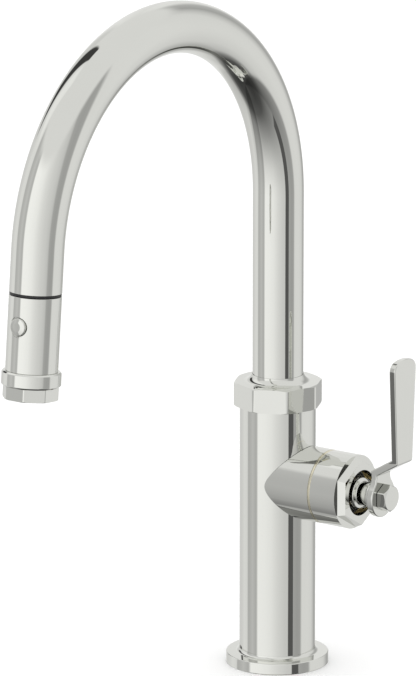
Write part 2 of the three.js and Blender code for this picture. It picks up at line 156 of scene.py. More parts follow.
class Graph:
    """A material's or the world's node tree, with short calls for the nodes used here."""

    def __init__(self, tree):
        self.tree = tree
        self.tree.nodes.clear()

    def node(self, kind, **settings):
        made = self.tree.nodes.new(kind)
        for key, value in settings.items():
            setattr(made, key, value)
        return made

    def link(self, source, target):
        self.tree.links.new(source, target)

    def feed(self, socket, value):
        if isinstance(value, bpy.types.NodeSocket):
            self.link(value, socket)
        else:
            socket.default_value = value

    def math(self, operation, a, b=0.0):
        made = self.node("ShaderNodeMath", operation=operation)
        self.feed(made.inputs[0], a)
        self.feed(made.inputs[1], b)
        return made.outputs[0]

    def noise(self, vector, scale, detail=3.0, roughness=0.5):
        made = self.node("ShaderNodeTexNoise")
        self.link(vector, made.inputs["Vector"])
        made.inputs["Scale"].default_value = scale
        made.inputs["Detail"].default_value = detail
        made.inputs["Roughness"].default_value = roughness
        return made.outputs["Fac"]

    def stretched(self, vector, scale):
        made = self.node("ShaderNodeMapping")
        self.link(vector, made.inputs["Vector"])
        made.inputs["Scale"].default_value = scale
        return made.outputs["Vector"]

    def ranged(self, value, low_in, high_in, low_out, high_out):
        made = self.node("ShaderNodeMapRange", interpolation_type="SMOOTHSTEP")
        self.feed(made.inputs["Value"], value)
        for name, number in zip(
            ("From Min", "From Max", "To Min", "To Max"), (low_in, high_in, low_out, high_out)
        ):
            made.inputs[name].default_value = number
        return made.outputs["Result"]

    def ramp(self, value, stops):
        made = self.node("ShaderNodeValToRGB")
        self.link(value, made.inputs["Fac"])
        made.color_ramp.interpolation = "LINEAR"
        elements = made.color_ramp.elements
        while len(elements) < len(stops):
            elements.new(0.5)
        for element, (place, colour) in zip(elements, stops):
            element.position = place
            element.color = (*colour, 1)
        return made.outputs["Color"]

    def mix(self, factor, a, b):
        made = self.node("ShaderNodeMix", data_type="RGBA")
        self.feed(made.inputs["Factor"], factor)
        for socket, value in ((made.inputs["A"], a), (made.inputs["B"], b)):
            self.feed(socket, value if isinstance(value, bpy.types.NodeSocket) else (*value, 1))
        return made.outputs["Result"]

    def bump(self, height, strength, distance, under=None):
        made = self.node("ShaderNodeBump")
        made.inputs["Strength"].default_value = strength
        made.inputs["Distance"].default_value = distance
        self.link(height, made.inputs["Height"])
        if under is not None:
            self.link(under, made.inputs["Normal"])
        return made.outputs["Normal"]


def new_material(name):
    material = bpy.data.materials.new(name)
    material.use_nodes = True
    graph = Graph(material.node_tree)
    shader = graph.node("ShaderNodeBsdfPrincipled")
    output = graph.node("ShaderNodeOutputMaterial")
    graph.link(shader.outputs["BSDF"], output.inputs["Surface"])
    place = graph.node("ShaderNodeTexCoord").outputs["Object"]
    return material, graph, shader, place


# ---------------------------------------------------------------- finishes


def polished_nickel(name, smudge, painted_shade_tone=1.0):
    """Mirror nickel plate. smudge is how much handling has dulled it; the last argument, below 1.0, darkens
    the colour as painted shade, for a copy that stands in for dark reflections.
    """
    material, graph, shader, place = new_material(name)
    shader.inputs["Metallic"].default_value = 1
    cloud = graph.noise(place, 14, 2)
    dim = [painted_shade_tone * level for level in (0.80, 0.805, 0.775)]
    bright = [painted_shade_tone * level for level in (0.84, 0.845, 0.815)]
    colour = graph.mix(cloud, dim, bright)
    graph.link(colour, shader.inputs["Base Color"])
    film = graph.ranged(graph.noise(place, 55, 5, 0.62), 0.46, 0.78, 0.0, smudge)
    prints = graph.ranged(
        graph.noise(graph.stretched(place, (1, 1, 0.35)), 190, 6, 0.7), 0.55, 0.75, 0.0, 1.0
    )
    dull = graph.math("MULTIPLY", film, graph.math("ADD", graph.math("MULTIPLY", prints, 0.7), 0.3))
    graph.link(graph.math("ADD", dull, 0.028), shader.inputs["Roughness"])
    buffed = graph.noise(graph.stretched(place, (1, 1, 0.08)), 2600, 3, 0.6)
    wave = graph.noise(place, 60, 1)
    under = graph.bump(wave, 0.012, 0.0006)
    graph.link(graph.bump(buffed, 0.02, 0.00004, under), shader.inputs["Normal"])
    return material


def machined_metal(name, dark, light, roughness, line_scale):
    """Turned metal left with its fine tool marks."""
    material, graph, shader, place = new_material(name)
    shader.inputs["Metallic"].default_value = 1
    stain = graph.noise(place, 90, 4, 0.6)
    graph.link(graph.mix(stain, dark, light), shader.inputs["Base Color"])
    lines = graph.noise(graph.stretched(place, (0.06, 0.06, 1)), line_scale, 4, 0.65)
    rough = graph.ranged(lines, 0.3, 0.7, roughness * 0.75, roughness * 1.3)
    graph.link(rough, shader.inputs["Roughness"])
    graph.link(graph.bump(lines, 0.25, 0.00006), shader.inputs["Normal"])
    return material


def moulded(name, dark, light, roughness, grain):
    """Moulded plastic or rubber with a fine grain and a little dust in it."""
    material, graph, shader, place = new_material(name)
    speck = graph.noise(place, 240, 5, 0.6)
    graph.link(graph.mix(speck, dark, light), shader.inputs["Base Color"])
    graph.link(graph.ranged(speck, 0.3, 0.7, roughness * 0.85, roughness * 1.15), shader.inputs["Roughness"])
    graph.link(graph.bump(graph.noise(place, grain, 2), 0.3, 0.00003), shader.inputs["Normal"])
    return material


def braided_hose():
    """Nylon braid: two sets of threads crossing at a slant, laid out on the hose's own map."""
    material, graph, shader, _ = new_material("nylon braid")
    spread = graph.node("ShaderNodeUVMap", uv_map="hose").outputs["UV"]
    split = graph.node("ShaderNodeSeparateXYZ")
    graph.link(spread, split.inputs["Vector"])
    around, along = split.outputs["X"], split.outputs["Y"]
    threads = []
    for way in (1, -1):
        phase = graph.math(
            "ADD", graph.math("MULTIPLY", around, 12 * FULL * way), graph.math("MULTIPLY", along, FULL)
        )
        threads.append(graph.math("ABSOLUTE", graph.math("SINE", graph.math("MULTIPLY", phase, 0.5))))
    weave = graph.math("MAXIMUM", threads[0], threads[1])
    colour = graph.ramp(
        weave, [(0.45, (0.012, 0.012, 0.013)), (0.8, (0.16, 0.165, 0.17)), (1.0, (0.3, 0.31, 0.32))]
    )
    graph.link(colour, shader.inputs["Base Color"])
    shader.inputs["Roughness"].default_value = 0.55
    graph.link(graph.bump(weave, 0.8, 0.0004), shader.inputs["Normal"])
    return material


def make_finishes():
    plastic = (0.006, 0.006, 0.007)
    return {
        "column": polished_nickel("polished nickel", 0.10),
        "touched": polished_nickel("polished nickel, handled", 0.2),
        "brass": machined_metal("machined brass", (0.58, 0.42, 0.17), (0.78, 0.62, 0.33), 0.28, 2400),
        "trim": machined_metal("brass trim", (0.80, 0.74, 0.56), (0.90, 0.86, 0.72), 0.14, 2400),
        "steel": machined_metal("drawn stainless steel", (0.52, 0.52, 0.51), (0.70, 0.70, 0.69), 0.24, 1800),
        "black": moulded("black acetal", plastic, (0.022, 0.022, 0.024), 0.42, 5200),
        "white": moulded("white acetal", (0.74, 0.73, 0.69), (0.84, 0.83, 0.80), 0.4, 4200),
        "rubber": moulded("moulded rubber", (0.012, 0.012, 0.013), (0.035, 0.035, 0.037), 0.72, 3600),
        "nozzle": moulded("grey silicone", (0.05, 0.051, 0.053), (0.09, 0.091, 0.094), 0.58, 3600),
        "ceramic": moulded("lapped ceramic", (0.80, 0.79, 0.75), (0.88, 0.87, 0.84), 0.16, 2600),
        # Near-black for the valve stub's saddle face: painted shade in the gap between stub and column.
        "joint": moulded("painted shade in the stub gap", (0.008, 0.008, 0.008), (0.02, 0.02, 0.02), 0.5, 3600),
        # Dark steel for the cartridge ring: painted shade in the valve cap's bore.
        "painted_bore_shade": machined_metal("steel darkened as painted bore shade", (0.11, 0.11, 0.108), (0.2, 0.2, 0.196), 0.3, 2400),
        # Nickel darkened to a third: painted dark reflection for the lever's blade flanks and the bolt
        # head's side flats.
        "painted_dark_reflection": polished_nickel("polished nickel, painted dark reflection", 0.12, 0.34),
        "braid": braided_hose(),
    }


# ---------------------------------------------------------------- shape helpers


def filleted(corners, closed=True, steps=6):
    """Points along a polyline of (x, y, radius) corners, each corner with a radius made an arc."""
    points = []
    count = len(corners)
    for i, (x, y, radius) in enumerate(corners):
        here = Vector((x, y))
        ends = not closed and i in (0, count - 1)
        if radius <= 0 or ends:
            points.append(here)
            continue
        before = (Vector(corners[i - 1][:2]) - here).normalized()
        after = (Vector(corners[(i + 1) % count][:2]) - here).normalized()
        half = before.angle(after) / 2
        centre = here + (before + after).normalized() * (radius / math.sin(half))
        start = here + before * (radius / math.tan(half)) - centre
        turn = start.angle_signed(here + after * (radius / math.tan(half)) - centre)
        for k in range(steps + 1):
            points.append(centre + Matrix.Rotation(-turn * k / steps, 2) @ start)
    return points


def loop_of(bm, points, closed=True):
    verts = [bm.verts.new(p) for p in points]
    pairs = list(zip(verts, verts[1:])) + ([(verts[-1], verts[0])] if closed else [])
    return verts, [bm.edges.new(pair) for pair in pairs]


def clean(bm):
    bmesh.ops.remove_doubles(bm, verts=bm.verts, dist=1e-7)
    bmesh.ops.dissolve_degenerate(bm, edges=bm.edges, dist=1e-7)
    bmesh.ops.recalc_face_normals(bm, faces=bm.faces)
    return bm


def spun(corners, segments=ROUND, closed=True):
    """A turned body from (radius, height, fillet) corners. An open profile starts and ends on the axis."""
    bm = bmesh.new()
    points = [Vector((p.x, 0, p.y)) for p in filleted(corners, closed)]
    verts, edges = loop_of(bm, points, closed)
    bmesh.ops.spin(
        bm, geom=verts + edges, cent=(0, 0, 0), axis=(0, 0, 1), angle=FULL, steps=segments, use_merge=True
    )
    return clean(bm)


def ring(inner, outer, bottom, top, fillet=0.0, segments=ROUND):
    corners = [(inner, bottom), (outer, bottom), (outer, top), (inner, top)]
    return spun([(r, z, fillet) for r, z in corners], segments)


def prism(outline, bottom, top, scale_top=1.0, corner=0.0):
    """A straight body on a flat outline, tapered where its top is scaled, with its upright edges rounded."""
    bm = bmesh.new()
    face = bm.faces.new([bm.verts.new((x, y, bottom)) for x, y in outline])
    grown = bmesh.ops.extrude_face_region(bm, geom=[face])["geom"]
    top_verts = [v for v in grown if isinstance(v, bmesh.types.BMVert)]
    bmesh.ops.translate(bm, verts=top_verts, vec=(0, 0, top - bottom))
    bmesh.ops.scale(bm, verts=top_verts, vec=(scale_top, scale_top, 1))
    if corner:
        upright = [e for e in bm.edges if abs(e.verts[0].co.z - e.verts[1].co.z) > 0.5 * (top - bottom)]
        bmesh.ops.bevel(
            bm, geom=upright, offset=corner, offset_type="OFFSET", segments=3, profile=0.5,
            affect="EDGES", clamp_overlap=True, material=-1,
        )
    return clean(bm)


def polygon(sides, corner_r, clock=0.0):
    turns = [math.radians(clock) + FULL * i / sides for i in range(sides)]
    return [(corner_r * math.cos(t), corner_r * math.sin(t)) for t in turns]


def to_object(bm, name):
    mesh = bpy.data.meshes.new(name)
    bm.to_mesh(mesh)
    bm.free()
    made = bpy.data.objects.new(name, mesh)
    bpy.context.scene.collection.objects.link(made)
    return made


def combined(bm, others, operation):
    """bm after each of the others is cut from it, joined to it or kept in common with it."""
    body = to_object(bm, "working body")
    tools = [to_object(other, "working tool") for other in others]
    for tool in tools:
        step = body.modifiers.new("combine", "BOOLEAN")
        step.operation = operation
        step.solver = "EXACT"
        step.object = tool
    bpy.context.view_layer.update()
    result = bmesh.new()
    result.from_object(body, bpy.context.evaluated_depsgraph_get())
    for used in [body, *tools]:
        mesh = used.data
        bpy.data.objects.remove(used)
        bpy.data.meshes.remove(mesh)
    return clean(result)


def soften(bm, width, segments=3, angle=28):
    """Rounds every edge that turns more than the angle."""
    bmesh.ops.dissolve_limit(bm, angle_limit=math.radians(0.5), verts=bm.verts, edges=bm.edges)
    sharp = [e for e in bm.edges if e.is_manifold and e.calc_face_angle() > math.radians(angle)]
    bmesh.ops.bevel(
        bm, geom=sharp, offset=width, offset_type="OFFSET", segments=segments, profile=0.5,
        affect="EDGES", clamp_overlap=True, material=-1,
    )
    return clean(bm)


def moved(bm, matrix):
    bmesh.ops.transform(bm, matrix=matrix, verts=bm.verts)
    return bm


def piece(bm, name, body, finish, replaced=(), crease=32):
    """Makes the mesh a named piece that rides on a body."""
    for face in bm.faces:
        face.smooth = True
    for edge in bm.edges:
        edge.smooth = edge.is_manifold and edge.calc_face_angle() < math.radians(crease)
    made = to_object(bm, name)
    made.data.materials.append(finish)
    shading = made.modifiers.new("flat faces stay flat", "WEIGHTED_NORMAL")
    shading.keep_sharp = True
    shading.weight = 100
    if body:
        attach(made, body)
    if replaced:
        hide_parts(*replaced)
    return made


# ---------------------------------------------------------------- base and column


def make_base(finishes):
    nickel = finishes["column"]
    bore = 16.7 * MM
    seat = 6 * MM
    rim = 6.8 * MM
    flange = spun([
        (bore, 0, 0), (19.6 * MM, 0, 0), (19.6 * MM, 1.5 * MM, 0), (28.4 * MM, 1.5 * MM, 0),
        (28.4 * MM, 0, 0),
        (FLANGE_R, 0, 0.4 * MM), (FLANGE_R - 0.15 * MM, rim - 0.2 * MM, 0.6 * MM),
        (COLUMN_R + 0.6 * MM, rim + 0.3 * MM, 2.4 * MM), (COLUMN_R + SEAM, FLANGE_TOP, 0),
        (COLUMN_R + SEAM, seat, 0),
        (bore, seat, 0),
    ], 128)
    piece(flange, "flange_turned", "base", nickel, ["base_flange"])

    shell_in = COLUMN_R - 2 * MM
    shell = ring(shell_in, COLUMN_R, low("column_shell").z, high("column_shell").z, 0, 128)
    window = moved(
        spun([
            (0, 6 * MM, 0), (18.3 * MM, 6 * MM, 0), (18.3 * MM, 30 * MM, 0), (0, 30 * MM, 0),
        ], ROUND, False),
        ON_VALVE
    )
    shell = combined(shell, [window], "DIFFERENCE")
    piece(shell, "column_polished", "base", nickel, ["column_shell"])


def make_under_deck(finishes):
    outer = high("threaded_shank").x
    shank_r = 16.4 * MM
    bore = 14.3 * MM
    foot = low("threaded_shank").z
    pitch = 1.5 * MM
    depth = 0.8 * MM
    turns = int((-1 * MM - foot) / pitch) - 1
    outside = [(shank_r - depth, foot, 0)]
    for i in range(turns):
        start = foot + 0.4 * MM + i * pitch
        outside += [
            (shank_r - depth, start + 0.2 * MM, 0), (shank_r, start + 0.7 * MM, 0),
            (shank_r, start + 0.9 * MM, 0)
        ]
    top = high("threaded_shank").z
    outside += [
        (shank_r - depth, -1 * MM, 0), (shank_r, -0.4 * MM, 0), (shank_r, 6.3 * MM, 0), (outer, 6.3 * MM, 0),
        (outer, top, 0.5 * MM), (bore, top, 0.5 * MM), (bore, foot, 0),
    ]
    piece(
        spun(outside, SMALL_ROUND), "shank_threaded", "base", finishes["brass"],
        ["threaded_shank"]
    )

    nut_low, nut_high = low("fixing_nut").z, high("fixing_nut").z
    corner = high("fixing_nut").y
    block = prism(polygon(6, corner, 30), nut_low, nut_high)
    trim = spun([
        (0, nut_low, 0), (corner - 2.4 * MM, nut_low, 0), (corner - 0.3 * MM, nut_low + 1.4 * MM, 0),
        (corner - 0.3 * MM, nut_high - 1.4 * MM, 0), (corner - 2.4 * MM, nut_high, 0), (0, nut_high, 0),
    ], ROUND, False)
    hole = ring_tool(shank_r + GAP, nut_low - 1 * MM, nut_high + 1 * MM)
    nut = soften(combined(combined(block, [trim], "INTERSECT"), [hole], "DIFFERENCE"), 0.3 * MM)
    piece(nut, "fixing_nut_chamfered", "base", finishes["brass"], ["fixing_nut"])

    for node, finish, slot_name in (
        ("fixing_steel_washer", "steel", "steel"), ("fixing_rubber_washer", "rubber", "rubber"),
    ):
        washer = ring(shank_r + GAP, high(node).x, low(node).z, high(node).z, 0.35 * MM)
        piece(washer, node + "_pressed", "base", finishes[finish], [node])


def ring_tool(radius, bottom, top, segments=ROUND):
    """A plain round cutter along +Z."""
    return spun([(0, bottom, 0), (radius, bottom, 0), (radius, top, 0), (0, top, 0)], segments, False)


def make_collar(finishes):
    faces_top = NUT_LOW + 14.1 * MM
    corner = 26.7 * MM
    cone = spun([
        (0, NUT_LOW, 0), (corner - 1.2 * MM, NUT_LOW, 0.2 * MM),
        (corner - 0.2 * MM, NUT_LOW + 0.6 * MM, 0.2 * MM),
        (corner - 0.2 * MM, faces_top - 0.5 * MM, 0.3 * MM), (24.9 * MM, faces_top + 0.1 * MM, 0.6 * MM),
        (16.6 * MM, faces_top + 0.6 * MM, 5.6 * MM), (TUBE_R + 0.3 * MM, NUT_TOP, 0), (0, NUT_TOP, 0),
    ], 128, False)
    clock = -90 + NUT_CLOCK
    octagon = prism(polygon(8, corner, clock), NUT_LOW - 1 * MM, NUT_TOP + 1 * MM, corner=1.1 * MM)
    nut = combined(cone, [octagon], "INTERSECT")
    socket = 168.8 * MM
    bores = [
        ring_tool(COLUMN_R - 2 * MM, NUT_LOW - 2 * MM, socket),
        ring_tool(TUBE_R + 0.12 * MM, socket - 1 * MM, NUT_TOP + 2 * MM),
    ]
    nut = soften(combined(nut, bores, "DIFFERENCE"), 0.22 * MM, 3, 22)
    piece(nut, "collar_nut_polished", "base", finishes["column"], ["collar_nut"])


# ---------------------------------------------------------------- valve and handle


def make_valve_covers(finishes):
    nickel = finishes["column"]
    bore = low("trim_ring").z
    inner = VALVE_Z - bore - 3 * MM
    groove = 0.25 * MM
    sleeve = moved(ring(inner, VALVE_R, 2 * MM, STUB_END - groove, 0, 128), ON_VALVE)
    saddle = ring_tool(COLUMN_R + GAP, VALVE_Z - 40 * MM, VALVE_Z + 40 * MM, 128)
    edge = 0.4 * MM
    stub = soften(combined(sleeve, [saddle], "DIFFERENCE"), edge, 2, 35)
    # Saddle faces against the column take the near-black slot: painted shade in the gap where the stub meets
    # the column.
    for face in stub.faces:
        reach = math.hypot(*face.calc_center_median().xy)
        face.material_index = 1 if reach < COLUMN_R + GAP + edge and face.normal.x < 0.3 else 0
    made = piece(stub, "valve_stub_polished", "base", nickel, ["valve_stub"], 25)
    made.data.materials.append(finishes["joint"])

    trim = moved(
        ring(inner, VALVE_R - SEAM, STUB_END - groove + SEAM, CAP_START + groove - SEAM, 0.25 * MM, 128),
        ON_VALVE
    )
    piece(trim, "trim_ring_turned", "base", finishes["trim"], ["trim_ring"])

    ledge = 55.7 * MM
    mouth = 13.4 * MM
    room = 18.3 * MM
    body = moved(spun([
        (room, CAP_START + groove, 0.3 * MM), (VALVE_R, CAP_START + groove, 0.35 * MM),
        (VALVE_R, CAP_END, 0), (mouth, CAP_END, 0.5 * MM),
        (mouth, ledge - 2 * MM, 0.4 * MM), (room, ledge - 2 * MM, 0.6 * MM),
    ], 128), ON_VALVE)
    wide, narrow = 18.5 * MM, 17 * MM
    corner = 1 / math.cos(math.pi / 6)
    deep = CAP_END - ledge
    far = 6 * MM
    slope = (wide - narrow) / deep
    flats = moved(
        prism(polygon(6, wide * corner), ledge, ledge + deep + far, (wide - slope * (deep + far)) / wide),
        ON_VALVE
    )
    drum = moved(ring_tool(VALVE_R + 5 * MM, CAP_START - 5 * MM, ledge), ON_VALVE)
    keeper = combined(drum, [flats], "UNION")
    cap = soften(combined(body, [keeper], "INTERSECT"), 0.22 * MM)
    piece(cap, "valve_cap_polished", "base", nickel, ["valve_cap"])


def make_handle(finishes):
    nickel = finishes["touched"]
    stem_hole = 3.1 * MM
    neck_r, collar_r = 7 * MM, 9.2 * MM
    neck = moved(spun([
        (stem_hole, 52 * MM, 0.2 * MM), (neck_r, 52 * MM, 0.4 * MM), (neck_r, 57.5 * MM, 0.2 * MM),
        (collar_r, 57.5 * MM, 0.3 * MM), (collar_r, 60.1 * MM, 0.8 * MM), (neck_r, 60.9 * MM, 0.8 * MM),
        (neck_r, 67.4 * MM, 0.6 * MM), (8.6 * MM, 68.4 * MM, 0.6 * MM),
        (8.6 * MM, LEVER_BACK - GAP, 0.4 * MM),
        (stem_hole, LEVER_BACK - GAP, 0),
    ], ROUND), ON_VALVE)
    piece(neck, "handle_neck_turned", "handle", nickel, ["handle_neck"])
    lever = lever_bar()
    # Slot 1, the blade's flat sides, takes the darkened nickel: painted dark reflection.
    for face in lever.faces:
        rise = face.calc_center_median().z - VALVE_Z
        face.material_index = 1 if abs(face.normal.y) > 0.97 and 26 * MM < rise < LEVER_TOP - 6 * MM else 0
    made = piece(lever, "lever_forged", "handle", nickel, ["lever"], 40)
    made.data.materials.append(finishes["painted_dark_reflection"])

    front = LEVER_BACK + LEVER_THICK
    start = front + GAP
    corner = 8.4 * MM
    block = moved(prism(polygon(6, corner), start, BOLT_END, corner=0.4 * MM), ON_VALVE)
    dome = moved(spun([
        (0, start, 0), (corner - 0.15 * MM, start, 0.3 * MM),
        (corner - 0.15 * MM, BOLT_END - 1.2 * MM, 0.4 * MM),
        (corner - 1.4 * MM, BOLT_END, 0.3 * MM), (0, BOLT_END, 0),
    ], ROUND, False), ON_VALVE)
    head = soften(combined(block, [dome], "INTERSECT"), 0.25 * MM)
    # Hex flats facing sideways take the darkened nickel: painted dark reflection.
    for face in head.faces:
        face.material_index = 1 if abs(face.normal.y) > 0.99 else 0
    made = piece(head, "bolt_head_polished", "handle", nickel, ["handle_bolt"], 36)
    made.data.materials.append(finishes["painted_dark_reflection"])
    screw = moved(
        spun([
            (0, 62 * MM, 0), (2.5 * MM, 62 * MM, 0.4 * MM), (2.5 * MM, start, 0), (0, start, 0),
        ], 32, False),
        ON_VALVE
    )
    piece(screw, "bolt_shank", "handle", finishes["steel"])


def lever_bar():
    """The bent flat bar: its side view extruded across, kept in common with its front view."""
    front = LEVER_BACK + LEVER_THICK
    blade_back = BLADE_FRONT - LEVER_THICK
    slope = math.tan(math.radians(30.5))
    rise = 14.2 * MM
    inner_rise = rise + 2.6 * MM
    outer_bend = rise + (BLADE_FRONT - front) * slope
    inner_bend = inner_rise + (blade_back - LEVER_BACK) * slope
    above = LEVER_TOP + 5 * MM
    side = filleted([
        (LEVER_BACK, -14 * MM, 0), (front, -14 * MM, 0), (front, rise, 0.8 * MM),
        (BLADE_FRONT, outer_bend, 2.2 * MM), (BLADE_FRONT, above, 0), (blade_back, above, 0),
        (blade_back, inner_bend, 0.8 * MM), (LEVER_BACK, inner_rise, 1.2 * MM),
    ])
    reach = 14 * MM
    bar = prism([(p.x, p.y) for p in side], -reach, reach)
    moved(bar, Matrix.Translation((0, 0, VALVE_Z)) @ Matrix.Rotation(math.pi / 2, 4, "X"))

    boss, neck, foot, top, crown = 12 * MM, 7.15 * MM, 8.1 * MM, 11 * MM, 7 * MM
    shoulder = LEVER_TOP - crown
    arc_from, arc_to = math.radians(-218), math.radians(38)
    outline = []
    for k in range(41):
        turn = arc_from + (arc_to - arc_from) * k / 40
        outline.append((boss * math.cos(turn), boss * math.sin(turn)))
    outline += [(neck + 0.5 * MM, 10 * MM), (neck, 12.5 * MM), (foot, 24 * MM)]
    for k in range(25):
        turn = HALF * k / 24
        across = math.copysign(abs(math.cos(turn)) ** 0.8, math.cos(turn))
        outline.append((top * across, shoulder + crown * math.sin(turn) ** 0.8))
    outline += [(-foot, 24 * MM), (-neck, 12.5 * MM), (-neck - 0.5 * MM, 10 * MM)]
    face = prism(outline, 60 * MM, 100 * MM)
    turn_up = Matrix(((0, 0, 1, 0), (1, 0, 0, 0), (0, 1, 0, VALVE_Z), (0, 0, 0, 1)))
    moved(face, turn_up)
    lever = combined(bar, [face], "INTERSECT")
    hole = moved(ring_tool(2.8 * MM, LEVER_BACK - 2 * MM, front + 2 * MM, 32), ON_VALVE)
    return soften(combined(lever, [hole], "DIFFERENCE"), 0.75 * MM, 4, 40)


# ---------------------------------------------------------------- spout and hose


def swept(radius, inner, foot, tail, around, bend_steps):
    """A round bar or tube along the spout's centre line: riser, spun bend and straight tail."""
    bm = bmesh.new()
    sections = []
    for r in filter(None, (radius, inner)):
        points = [
            Vector((r * math.cos(FULL * k / around), r * math.sin(FULL * k / around), foot))
            for k in range(around)
        ]
        verts, edges = loop_of(bm, points)
        sections.append(edges)
    start_edges = [e for edges in sections for e in edges]
    ends = grow(bm, start_edges, Vector((0, 0, BEND_Z - foot)), max(2, int((BEND_Z - foot) / (6 * MM))))
    verts = {v for e in ends for v in e.verts}
    turned = bmesh.ops.spin(
        bm, geom=[*verts, *ends], cent=(0, -BEND_R, BEND_Z), axis=(1, 0, 0), angle=SWEEP, steps=bend_steps
    )
    ends = [e for e in turned["geom_last"] if isinstance(e, bmesh.types.BMEdge)]
    ends = grow(bm, ends, HEAD_AXIS * tail, max(1, int(tail / (6 * MM))))
    for rims in (start_edges, ends):
        if inner:
            bmesh.ops.bridge_loops(bm, edges=rims)
        else:
            bmesh.ops.contextual_create(bm, geom=rims)
    return clean(bm)


def grow(bm, edges, shift, steps):
    for _ in range(steps):
        made = bmesh.ops.extrude_edge_only(bm, edges=edges)["geom"]
        edges = [e for e in made if isinstance(e, bmesh.types.BMEdge)]
        verts = list({v for e in edges for v in e.verts})
        bmesh.ops.translate(bm, verts=verts, vec=shift / steps)
    return edges


def make_spout(finishes):
    tube = swept(TUBE_R, TUBE_BORE, TUBE_FOOT, TAIL - DOCK_RING - GAP, 72, 110)
    piece(tube, "spout_tube_polished", "spout", finishes["column"], ["spout_tube"], 50)

    inner, sleeve = 9.9 * MM, TUBE_R - 2.5 * MM
    insert = moved(spun([
        (inner, 0, 0.2 * MM), (TUBE_R - 0.25 * MM, 0, 0.25 * MM), (TUBE_R - 0.25 * MM, DOCK_RING, 0.25 * MM),
        (sleeve, DOCK_RING, 0), (sleeve, 18 * MM, 0.5 * MM), (inner, 18 * MM, 0.5 * MM),
    ], ROUND), ON_DOCK)
    piece(insert, "docking_ring_moulded", "spout", finishes["black"], ["dock_insert"])


def make_hose(finishes):
    """The hose inside the spout, and the short run at its end that draws out with the head."""
    run = swept(HOSE_R, 0, low("spray_hose").z, 2 * MM, 24, 60)
    made = piece(run, "spray_hose_run", "spout", finishes["braid"], ["spray_hose"], 60)
    lay_out(made, hose_length)

    stub = bmesh.new()
    turns = [FULL * k / 24 for k in range(24)]
    verts, edges = loop_of(stub, [(HOSE_R * math.cos(t), HOSE_R * math.sin(t), DRAWN_TOP) for t in turns])
    ends = grow(stub, edges, Vector((0, 0, DRAWN_LOW - DRAWN_TOP)), 64)
    for rim in (edges, ends):
        bmesh.ops.contextual_create(stub, geom=rim)
    stub = moved(clean(stub), ON_DOCK)
    made = piece(stub, "spray_hose_drawn", None, finishes["braid"], ["hose_stub"], 60)
    lay_out(made, drawn_length)
    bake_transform(made)


def lay_out(made, length_at):
    """A map for the braid: turns round the hose across, and braid repeats along it."""
    mesh = made.data
    layer = mesh.uv_layers.new(name="hose")
    repeat = 7 * MM
    for face in mesh.polygons:
        points = [mesh.vertices[mesh.loops[i].vertex_index].co for i in face.loop_indices]
        turns = [math.atan2(offset_from_line(point), point.x) / FULL + 0.5 for point in points]
        wrap = max(turns) - min(turns) > 0.5
        for i, point, u in zip(face.loop_indices, points, turns):
            layer.data[i].uv = (u + 1 if wrap and u < 0.5 else u, length_at(point) / repeat)


def bend_angle(point):
    """How far round the bend a point is: 0 at the riser's top, SWEEP at the tail."""
    angle = math.atan2(point.z - BEND_Z, point.y + BEND_R)
    return min(max(angle if angle > -1 else angle + FULL, 0), SWEEP)


def offset_from_line(point):
    """Distance of a point from the spout's centre line, towards the inside of the bend."""
    if point.z <= BEND_Z and point.y > -BEND_R:
        return -point.y
    if bend_angle(point) < SWEEP:
        return BEND_R - math.hypot(point.z - BEND_Z, point.y + BEND_R)
    return (point - DOCK).dot(Vector((0, math.cos(LEAN), -math.sin(LEAN))))


def hose_length(point):
    """Length along the centre line from the deck."""
    if point.z <= BEND_Z and point.y > -BEND_R:
        return point.z
    past = max((point - DOCK).dot(HEAD_AXIS) + TAIL, 0)
    return BEND_Z + BEND_R * bend_angle(point) + past


def drawn_length(point):
    """The same, where the run holds all the hose that comes out with the head."""
    before = -(point - DOCK).dot(HEAD_AXIS)
    share = min(max((DRAW_START - before) / (DRAW_START - DRAW_END), 0), 1)
    return hose_length(point) + PULL * share * share * (3 - 2 * share)


# ---------------------------------------------------------------- spray head


